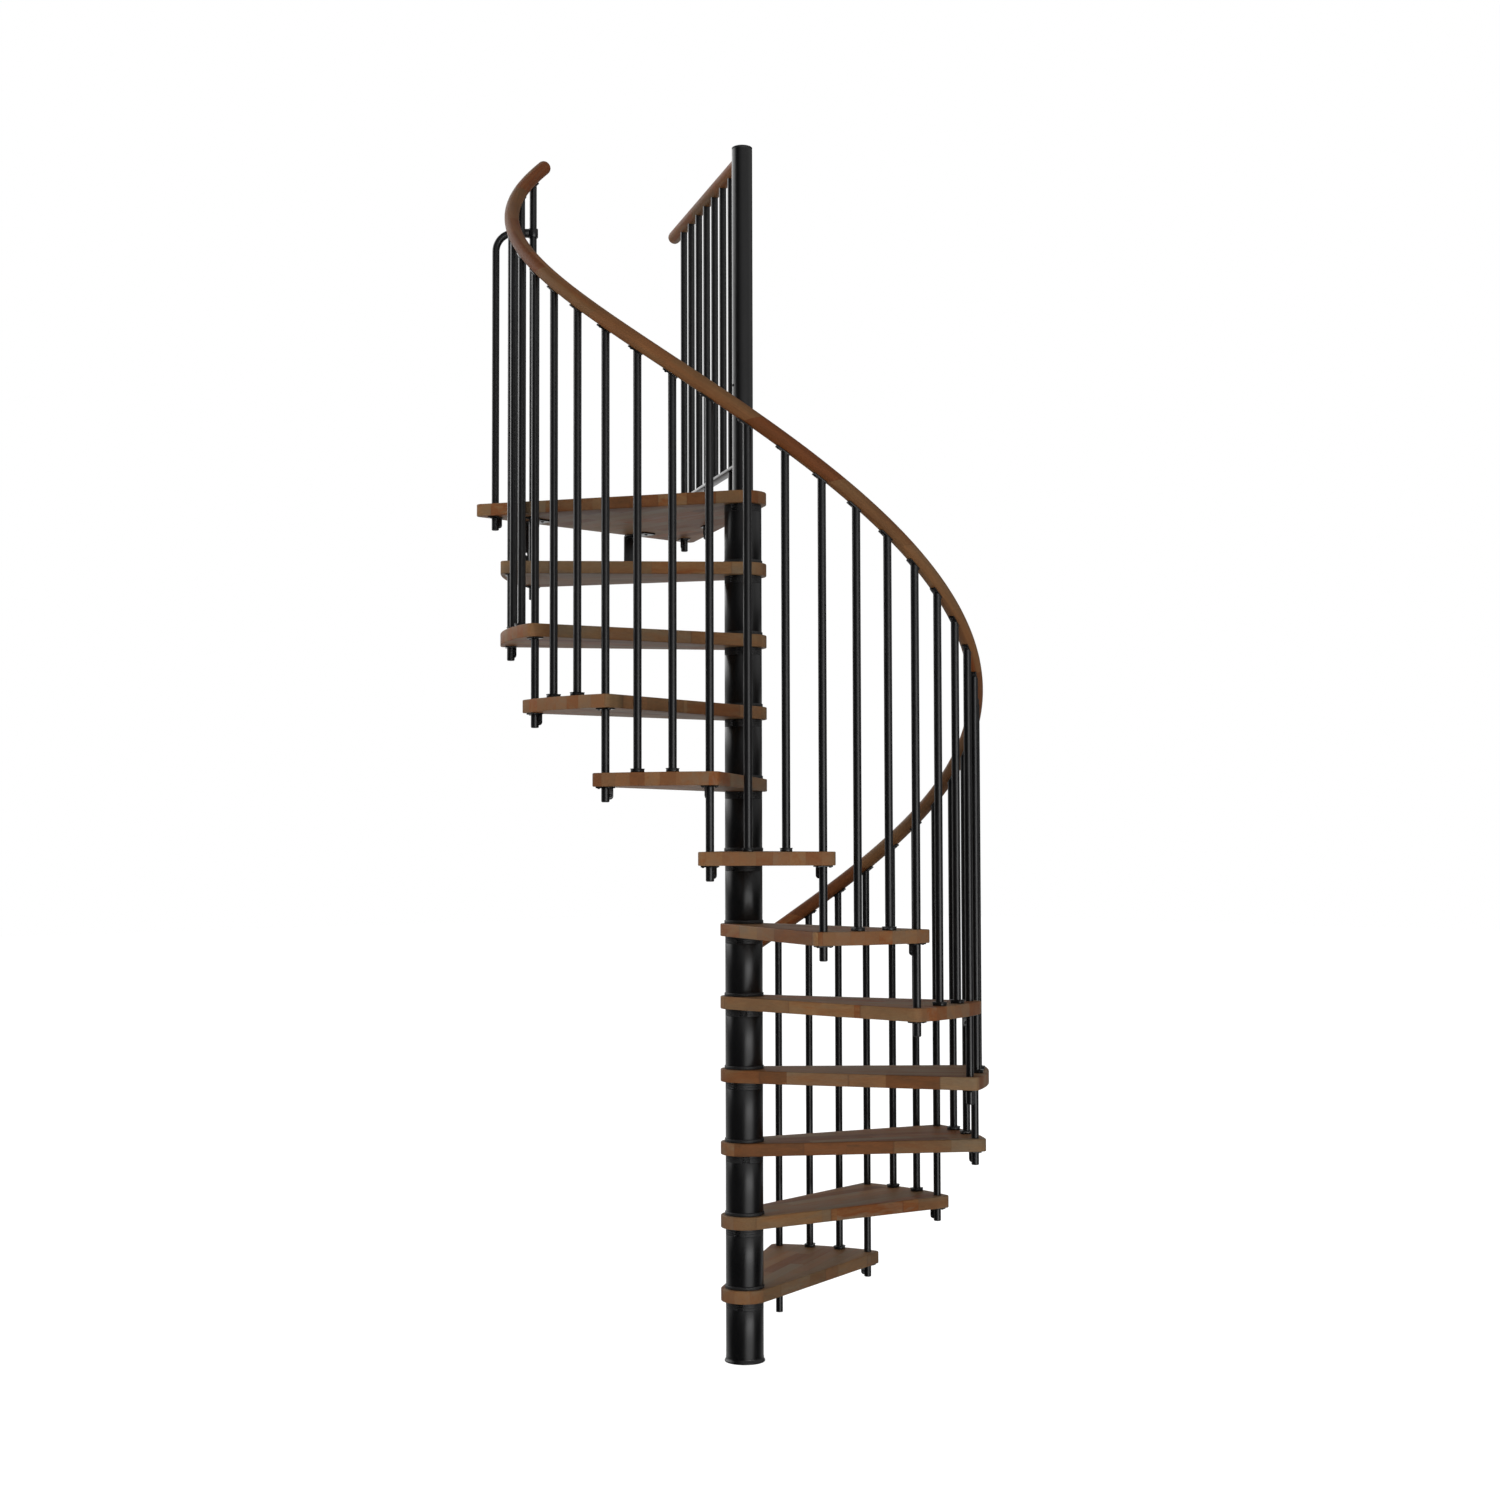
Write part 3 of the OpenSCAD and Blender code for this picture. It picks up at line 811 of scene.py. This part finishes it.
def make_clamps():
    plates = bmesh.new()
    screws = bmesh.new()
    for number, node in enumerate(TREADS, start=1):
        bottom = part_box(node)[0].z
        for place, side in ((number, 1), (number - 1, -1)):
            clamp(plates, screws, foot_frame(rail_point(place), bottom), side)
    under = landing_low.z
    last = angle_at(tread_count)
    clamp(plates, screws, foot_frame(rail_point(tread_count), under), -1)
    clamp(plates, screws, foot_frame(hoop_leg, under, last), -1)
    for box in guard_solids:
        if is_through(box):
            clamp(plates, screws, foot_frame(centre(box), under, guard_angle - math.pi / 2), -1)
    piece("board_clamps", plates, "steel", ["tube_clamps"])
    piece("clamp_screws", screws, "screw")


def make_rail_plates():
    plates = bmesh.new()
    screws = bmesh.new()
    half_w, uphill, downhill = 9 * MM, -28 * MM, 16 * MM
    places = [0] + [i + third / 3 for i in range(1, tread_count + 1) for third in (-2, -1, 0)]
    for place in places:
        matrix = (Matrix.Translation(rail_point(place) - UP * handrail_r / math.cos(slope))
                  @ Matrix.Rotation(angle_at(place), 4, "Z") @ Matrix.Rotation(-slope, 4, "X"))
        outline = rounded_rectangle(-half_w, uphill, half_w, downhill, 3 * MM)
        slab_in(plates, outline, -plate_t, 0, 0.8 * MM, matrix)
        for at_y in (uphill + 8 * MM, downhill - 4.5 * MM):
            spot = matrix @ Matrix.Translation((0, at_y, -plate_t)) @ Matrix.Rotation(math.pi, 4, "X")
            screw_head(screws, spot, 3.4 * MM, 2.2 * MM)
    piece("rail_saddles", plates, "steel", ["handrail_plates"])
    piece("saddle_screws", screws, "screw")


# ---- Handrails ---------------------------------------------------------------------------

def grained_mesh():
    """An empty mesh with the two attributes that the wood reads."""
    mesh = bmesh.new()
    layers = mesh.verts.layers.float_vector
    layers.new("grain_place")
    layers.new("grain_way")
    return mesh, layers["grain_place"], layers["grain_way"]


def rounded_run(length, body_steps, ease):
    """Distances along a bar and radii there, with both ends rounded over."""
    turns = [math.radians(90 * k / 7) for k in range(7)]
    near = [(ease * (1 - math.cos(a)), handrail_r - ease * (1 - math.sin(a))) for a in turns]
    body = [(ease + (length - 2 * ease) * k / body_steps, handrail_r) for k in range(body_steps + 1)]
    far = [(length - run, radius) for run, radius in reversed(near)]
    return near + body + far


def make_handrail():
    start, stop = handrail_ends()
    runs = rounded_run((stop - start) * rail_step, 280, RAIL_END)
    mesh, *grain = grained_mesh()
    path = [rail_point(start + run / rail_step) for run, radius in runs]
    sweep(mesh, path, [radius for run, radius in runs], RAIL_SIDES, grain)
    made = piece("stair_handrail", mesh, "rail", ["handrail"], sharp=60)
    made.pass_index = STAIR_RAIL_STAVES


def spread(node, direction):
    """The least and greatest reach of a node along a horizontal direction."""
    reaches = [vert.co.to_2d().dot(direction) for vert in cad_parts[node].data.vertices]
    return min(reaches), max(reaches)


def make_guard():
    way = Vector((math.cos(guard_angle), math.sin(guard_angle)))
    low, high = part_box("guard_handrail")
    axis_z = (low.z + high.z) / 2
    far = spread("guard_handrail", way)[1]
    start = post_r - 2 * MM
    mesh, *grain = grained_mesh()
    end_round = handrail_r - 0.2 * MM
    runs = [ring for ring in rounded_run(far - start, 40, end_round) if ring[0] >= end_round]
    runs.insert(0, (0.0, handrail_r))
    path = [polar(start + run, guard_angle, axis_z) for run, radius in runs]
    sweep(mesh, path, [radius for run, radius in runs], RAIL_SIDES, grain)
    made = piece("guard_rail", mesh, "rail", ["guard_handrail"], sharp=60)
    made.pass_index = GUARD_RAIL_STAVES

    mesh = bmesh.new()
    for box in guard_solids:
        low_z = box[0].z + (PLUG_DROP if is_through(box) else 0)
        upright(mesh, centre(box).x, centre(box).y, low_z, axis_z - 4 * MM)
    piece("guard_balusters", mesh, "steel", ["guard_tubes"])

    bar_low, bar_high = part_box("guard_bottom_rail")
    reach = spread("guard_bottom_rail", way)[1]
    half = spread("guard_bottom_rail", Vector((-way.y, way.x)))[1]
    outline = rounded_rectangle(post_r - 4 * MM, -half, reach, half, 2.5 * MM)
    mesh = bmesh.new()
    slab_in(mesh, outline, bar_low.z, bar_high.z, 0.9 * MM, Matrix.Rotation(guard_angle, 4, "Z"))
    piece("guard_flat_bar", mesh, "steel", ["guard_bottom_rail"])


# ---- Hoop and brackets -----------------------------------------------------------------------

def make_hoop():
    hoop_low, hoop_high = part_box("hoop_tube")
    clamp_low, clamp_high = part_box("hoop_clamp")
    bend = 58 * MM
    top_z = hoop_high.z - tube_r
    post = rail_point(tread_count)
    run = (post - hoop_leg).to_2d()
    way = run.normalized()
    path = [Vector((hoop_leg.x, hoop_leg.y, hoop_low.z + PLUG_DROP)),
            Vector((hoop_leg.x, hoop_leg.y, top_z - bend))]
    for k in range(1, 17):
        a = math.radians(90 * k / 16)
        side = bend * (1 - math.cos(a))
        path.append(Vector((hoop_leg.x + way.x * side, hoop_leg.y + way.y * side,
                            top_z - bend + bend * math.sin(a))))
    reach = run.length - tube_r - 4 * MM
    path.append(Vector((hoop_leg.x + way.x * reach, hoop_leg.y + way.y * reach, top_z)))
    mesh = bmesh.new()
    sweep(mesh, path, [tube_r] * len(path), TUBE_SIDES)
    piece("hoop_bar", mesh, "steel", ["hoop_tube"])

    wall = 4 * MM
    lug_l = 20 * MM
    facing = math.atan2(-way.y, -way.x)
    hub = placed(post.x, post.y, top_z, facing)
    mesh = bmesh.new()
    half_h = (clamp_high.z - clamp_low.z) / 2
    ring = ring_profile(tube_r, tube_r + wall, -half_h, half_h, 1.2 * MM)
    lathe(mesh, ring, JOINT_SIDES, hub, closed=True)
    sideways = hub @ Matrix.Rotation(math.pi / 2, 4, "Y")
    outer = tube_r + 2.5 * MM
    tip = tube_r + wall + lug_l
    lathe(mesh, rounded(outer, tube_r + 1 * MM, tip, 1.6 * MM), JOINT_SIDES, sideways)
    piece("hoop_joint", mesh, "steel", ["hoop_clamp"])
    mesh = bmesh.new()
    for side in (-1, 1):
        spot = hub @ Matrix.Translation((tube_r + wall + 0.55 * lug_l, side * outer, 0))
        screw_head(mesh, spot @ Matrix.Rotation(-side * math.pi / 2, 4, "X"), 3.6 * MM, 1.8 * MM)
    piece("hoop_screws", mesh, "screw")


def make_brackets():
    thick, bend_in, hole_r = 5 * MM, 4 * MM, 4.5 * MM
    bend_out = bend_in + thick
    plates = bmesh.new()
    screws = bmesh.new()
    for low, high in solids("floor_brackets"):
        middle = centre((low, high))
        half_w = (high.x - low.x) / 2
        drop = high.z - low.z
        run = high.y - low.y
        corner = placed(middle.x, high.y, high.z)
        around = [-math.tau * k / 24 for k in range(24)]
        holes = [[Vector((hole_r * math.cos(a), z + hole_r * math.sin(a))) for a in around]
                 for z in (-96 * MM, -126 * MM)]
        leg = rounded_rectangle(-half_w, -drop, half_w, -bend_out, 0.8 * MM, 2)
        # Stands the plate up: its Y axis becomes Z and it grows towards the column
        stand = Matrix(((1, 0, 0, 0), (0, 0, -1, 0), (0, 1, 0, 0), (0, 0, 0, 1)))
        slab_in(plates, leg, 0, thick, 0.5 * MM, corner @ stand, holes)
        arm = rounded_rectangle(-half_w, -run, half_w, -bend_out, 0.8 * MM, 2)
        slab_in(plates, arm, -thick, 0, 0.5 * MM, corner)
        bent(plates, corner, half_w - 0.3 * MM, bend_in, bend_out)
        for at_y in (-run + 18 * MM, -run + 58 * MM):
            spot = corner @ Matrix.Translation((0, at_y, -thick)) @ Matrix.Rotation(math.pi, 4, "X")
            screw_head(screws, spot, 5 * MM, 2.6 * MM)
    piece("angle_brackets", plates, "steel", ["floor_brackets"])
    piece("bracket_screws", screws, "screw")


def bent(mesh, matrix, half_w, inner, outer):
    """The quarter bend between the two legs of an angle bracket."""
    steps = 8
    rows = []
    for k in range(steps + 1):
        a = math.radians(90 * k / steps)
        row = []
        for radius in (inner, outer):
            for x in (-half_w, half_w):
                at = Vector((x, -outer + radius * math.sin(a), -outer + radius * math.cos(a)))
                row.append(mesh.verts.new(matrix @ at))
        rows.append((row[0], row[1], row[3], row[2]))
    for first, second in zip(rows, rows[1:]):
        bridge(mesh, first, second)


# ---- Build ------------------------------------------------------------------------------------

make_base()
make_column()
make_spacers()
make_collars()
make_post()
make_boards()
make_railing()
make_feet()
make_clamps()
make_rail_plates()
make_handrail()
make_guard()
make_hoop()
make_brackets()


# ---- Camera ------------------------------------------------------------------------------------

bearing = math.radians(CAMERA_BEARING)
tilt = math.radians(CAMERA_TILT)
roll = math.radians(CAMERA_ROLL)
level = Vector((math.sin(bearing), math.cos(bearing), 0))
right = Vector((math.cos(bearing), -math.sin(bearing), 0))
forward = level * math.cos(tilt) + UP * math.sin(tilt)
upward = right.cross(forward)
rolled_right = right * math.cos(roll) - upward * math.sin(roll)
rolled_up = upward * math.cos(roll) + right * math.sin(roll)
place = right * CAMERA_SIDE - level * CAMERA_BACK + UP * CAMERA_HEIGHT

camera_data = bpy.data.cameras.new("camera")
camera_data.lens = CAMERA_LENS
camera_data.sensor_width = 36
camera = bpy.data.objects.new("camera", camera_data)
facing = Matrix((rolled_right, rolled_up, -forward)).transposed().to_4x4()
camera.matrix_world = Matrix.Translation(place) @ facing
bpy.context.scene.collection.objects.link(camera)
bpy.context.scene.camera = camera


# ---- Studio --------------------------------------------------------------------------------------

def side_of_camera(angle):
    """A level direction from the column, at an angle to the right of the camera, in degrees."""
    return -level * math.cos(math.radians(angle)) + right * math.sin(math.radians(angle))


def lamp(name, around, height, distance, width, tall, radiance, aim_z):
    """A soft area lamp, aimed at the column. Its reflection is left to the cards of the world."""
    data = bpy.data.lights.new(name, "AREA")
    data.shape = "RECTANGLE"
    data.size = width
    data.size_y = tall
    data.energy = radiance * math.pi * width * tall
    made = bpy.data.objects.new(name, data)
    spot = side_of_camera(around) * distance + UP * height
    aimed = (UP * aim_z - spot).to_track_quat("-Z", "Y").to_matrix().to_4x4()
    made.matrix_world = Matrix.Translation(spot) @ aimed
    made.visible_glossy = False
    made.visible_camera = False
    bpy.context.scene.collection.objects.link(made)


# Each lamp: direction to the right of the camera in degrees; height, distance, width and tallness;
# radiance; and the height it is aimed at.
LAMPS = {
    "key": (28, 1.9, 4.2, 0.9, 3.0, 4.2, 1.6),
    "left_softbox": (-66, 3.2, 3.6, 1.4, 2.2, 4.6, 2.3),
    "front_fill": (-6, 3.6, 6.5, 5.0, 4.0, 1.45, 2.6),
    "back_fill": (172, 3.0, 6.0, 5.0, 4.0, 1.3, 1.8),
    "top_fill": (0, 6.5, 1.5, 4.0, 4.0, 0.08, 1.5),
    "low_fill": (0, 0.12, 2.2, 4.0, 0.8, 2.3, 2.6),
}

# The studio that shiny surfaces show. Each card: direction to the right of the camera, half width
# and soft edge in degrees; lowest and highest sine of elevation and their soft edge; brightness.
CARDS = {
    "white_backdrop": (180, 14, 5, -2.0, 2.0, 0.1, 0.45),
    "white_floor": (180, 62, 20, -2.0, 0.0, 0.05, 0.40),
    "left_wall": (-132, 34, 10, -2.0, 2.0, 0.1, 0.21),
    "key_wide": (30, 21, 12, -2.0, 0.03, 0.06, 1.75),
    "key_core": (31, 17, 12, -0.10, 0.05, 0.06, 4.8),
    "front_high": (52, 72, 34, 0.08, 2.0, 0.08, 0.62),
    "left_box": (-126, 39, 8, 0.11, 0.70, 0.04, 2.1),
}
ROOM_LEVEL = 0.02
SKY_LEVEL = 0.70


def make_world():
    """White to the camera. Shiny surfaces see the white backdrop and the studio's cards."""
    world = bpy.data.worlds.new("studio")
    world.use_nodes = True
    bpy.context.scene.world = world
    tree = world.node_tree
    sky = tree.nodes["Background"]
    path = tree.nodes.new("ShaderNodeLightPath")
    where = tree.nodes.new("ShaderNodeTexCoord").outputs["Generated"]

    def put(socket, value):
        if isinstance(value, bpy.types.NodeSocket):
            tree.links.new(value, socket)
        else:
            socket.default_value = value

    def op(operation, first, second=0.0):
        made = tree.nodes.new("ShaderNodeMath")
        made.operation = operation
        put(made.inputs[0], first)
        put(made.inputs[1], second)
        return made.outputs[0]

    def vector_op(operation, first, second=(0, 0, 0)):
        made = tree.nodes.new("ShaderNodeVectorMath")
        made.operation = operation
        put(made.inputs[0], first)
        put(made.inputs[1], second)
        return made.outputs["Value" if operation == "DOT_PRODUCT" else "Vector"]

    def step(value, start, end, high):
        made = tree.nodes.new("ShaderNodeMapRange")
        made.interpolation_type = "SMOOTHSTEP"
        for socket, number in zip(made.inputs, (value, start, end, 0.0, high)):
            put(socket, number)
        return made.outputs[0]

    level_way = vector_op("NORMALIZE", vector_op("MULTIPLY", where, (1, 1, 0)))
    rising = vector_op("DOT_PRODUCT", where, UP)
    shown = ROOM_LEVEL
    for around, half, soft, lowest, highest, fade, bright in CARDS.values():
        toward = vector_op("DOT_PRODUCT", level_way, side_of_camera(around))
        edge_out = math.cos(math.radians(half + soft))
        edge_in = math.cos(math.radians(half - soft))
        card = step(toward, edge_out, edge_in, bright)
        card = op("MULTIPLY", card, step(rising, lowest - fade, lowest + fade, 1.0))
        falling = op("MULTIPLY", rising, -1.0)
        card = op("MULTIPLY", card, step(falling, -highest - fade, -highest + fade, 1.0))
        shown = op("ADD", card, shown)

    seen = path.outputs["Is Camera Ray"]
    mirrored = op("MAXIMUM", path.outputs["Is Glossy Ray"], path.outputs["Is Transmission Ray"])
    other = op("SUBTRACT", op("SUBTRACT", 1.0, seen), mirrored)
    strength = op("ADD", seen, op("MULTIPLY", mirrored, shown))
    strength = op("ADD", strength, op("MULTIPLY", other, SKY_LEVEL))
    tree.links.new(strength, sky.inputs["Strength"])
    sky.inputs["Color"].default_value = (1, 1, 1, 1)


FLOOR_HALF = 30
FLOOR_PALE = (0.85, 0.85, 0.85, 1)     # what lights the stair from below
FLOOR_FAINT = (0.22, 0.22, 0.22, 1)    # what carries the shadow for the camera
FLOOR_GLOW = 0.94


def make_floor():
    """Plain pale floor: it meets the white backdrop without a line and keeps a soft shadow."""
    mesh = bpy.data.meshes.new("floor")
    corners = [(x * FLOOR_HALF, y * FLOOR_HALF, 0) for x, y in ((-1, -1), (1, -1), (1, 1), (-1, 1))]
    mesh.from_pydata(corners, [], [(0, 1, 2, 3)])
    floor = bpy.data.objects.new("floor", mesh)
    bpy.context.scene.collection.objects.link(floor)
    material = bpy.data.materials.new("pale_floor")
    material.use_nodes = True
    tree = material.node_tree
    tree.nodes.clear()
    out = tree.nodes.new("ShaderNodeOutputMaterial")
    path = tree.nodes.new("ShaderNodeLightPath")
    pale = tree.nodes.new("ShaderNodeBsdfDiffuse")
    pale.inputs["Color"].default_value = FLOOR_PALE
    faint = tree.nodes.new("ShaderNodeBsdfDiffuse")
    faint.inputs["Color"].default_value = FLOOR_FAINT
    glow = tree.nodes.new("ShaderNodeEmission")
    glow.inputs["Strength"].default_value = FLOOR_GLOW
    white = tree.nodes.new("ShaderNodeAddShader")
    tree.links.new(faint.outputs[0], white.inputs[0])
    tree.links.new(glow.outputs[0], white.inputs[1])
    shown = tree.nodes.new("ShaderNodeMixShader")
    tree.links.new(path.outputs["Is Camera Ray"], shown.inputs[0])
    tree.links.new(pale.outputs[0], shown.inputs[1])
    tree.links.new(white.outputs[0], shown.inputs[2])
    open_to_cards = tree.nodes.new("ShaderNodeMixShader")
    tree.links.new(path.outputs["Is Glossy Ray"], open_to_cards.inputs[0])
    tree.links.new(shown.outputs[0], open_to_cards.inputs[1])
    tree.links.new(tree.nodes.new("ShaderNodeBsdfTransparent").outputs[0], open_to_cards.inputs[2])
    tree.links.new(open_to_cards.outputs[0], out.inputs["Surface"])
    mesh.materials.append(material)


make_world()
make_floor()
for lamp_name, settings in LAMPS.items():
    lamp(lamp_name, *settings)

scene = bpy.context.scene
scene.view_settings.view_transform = "Standard"
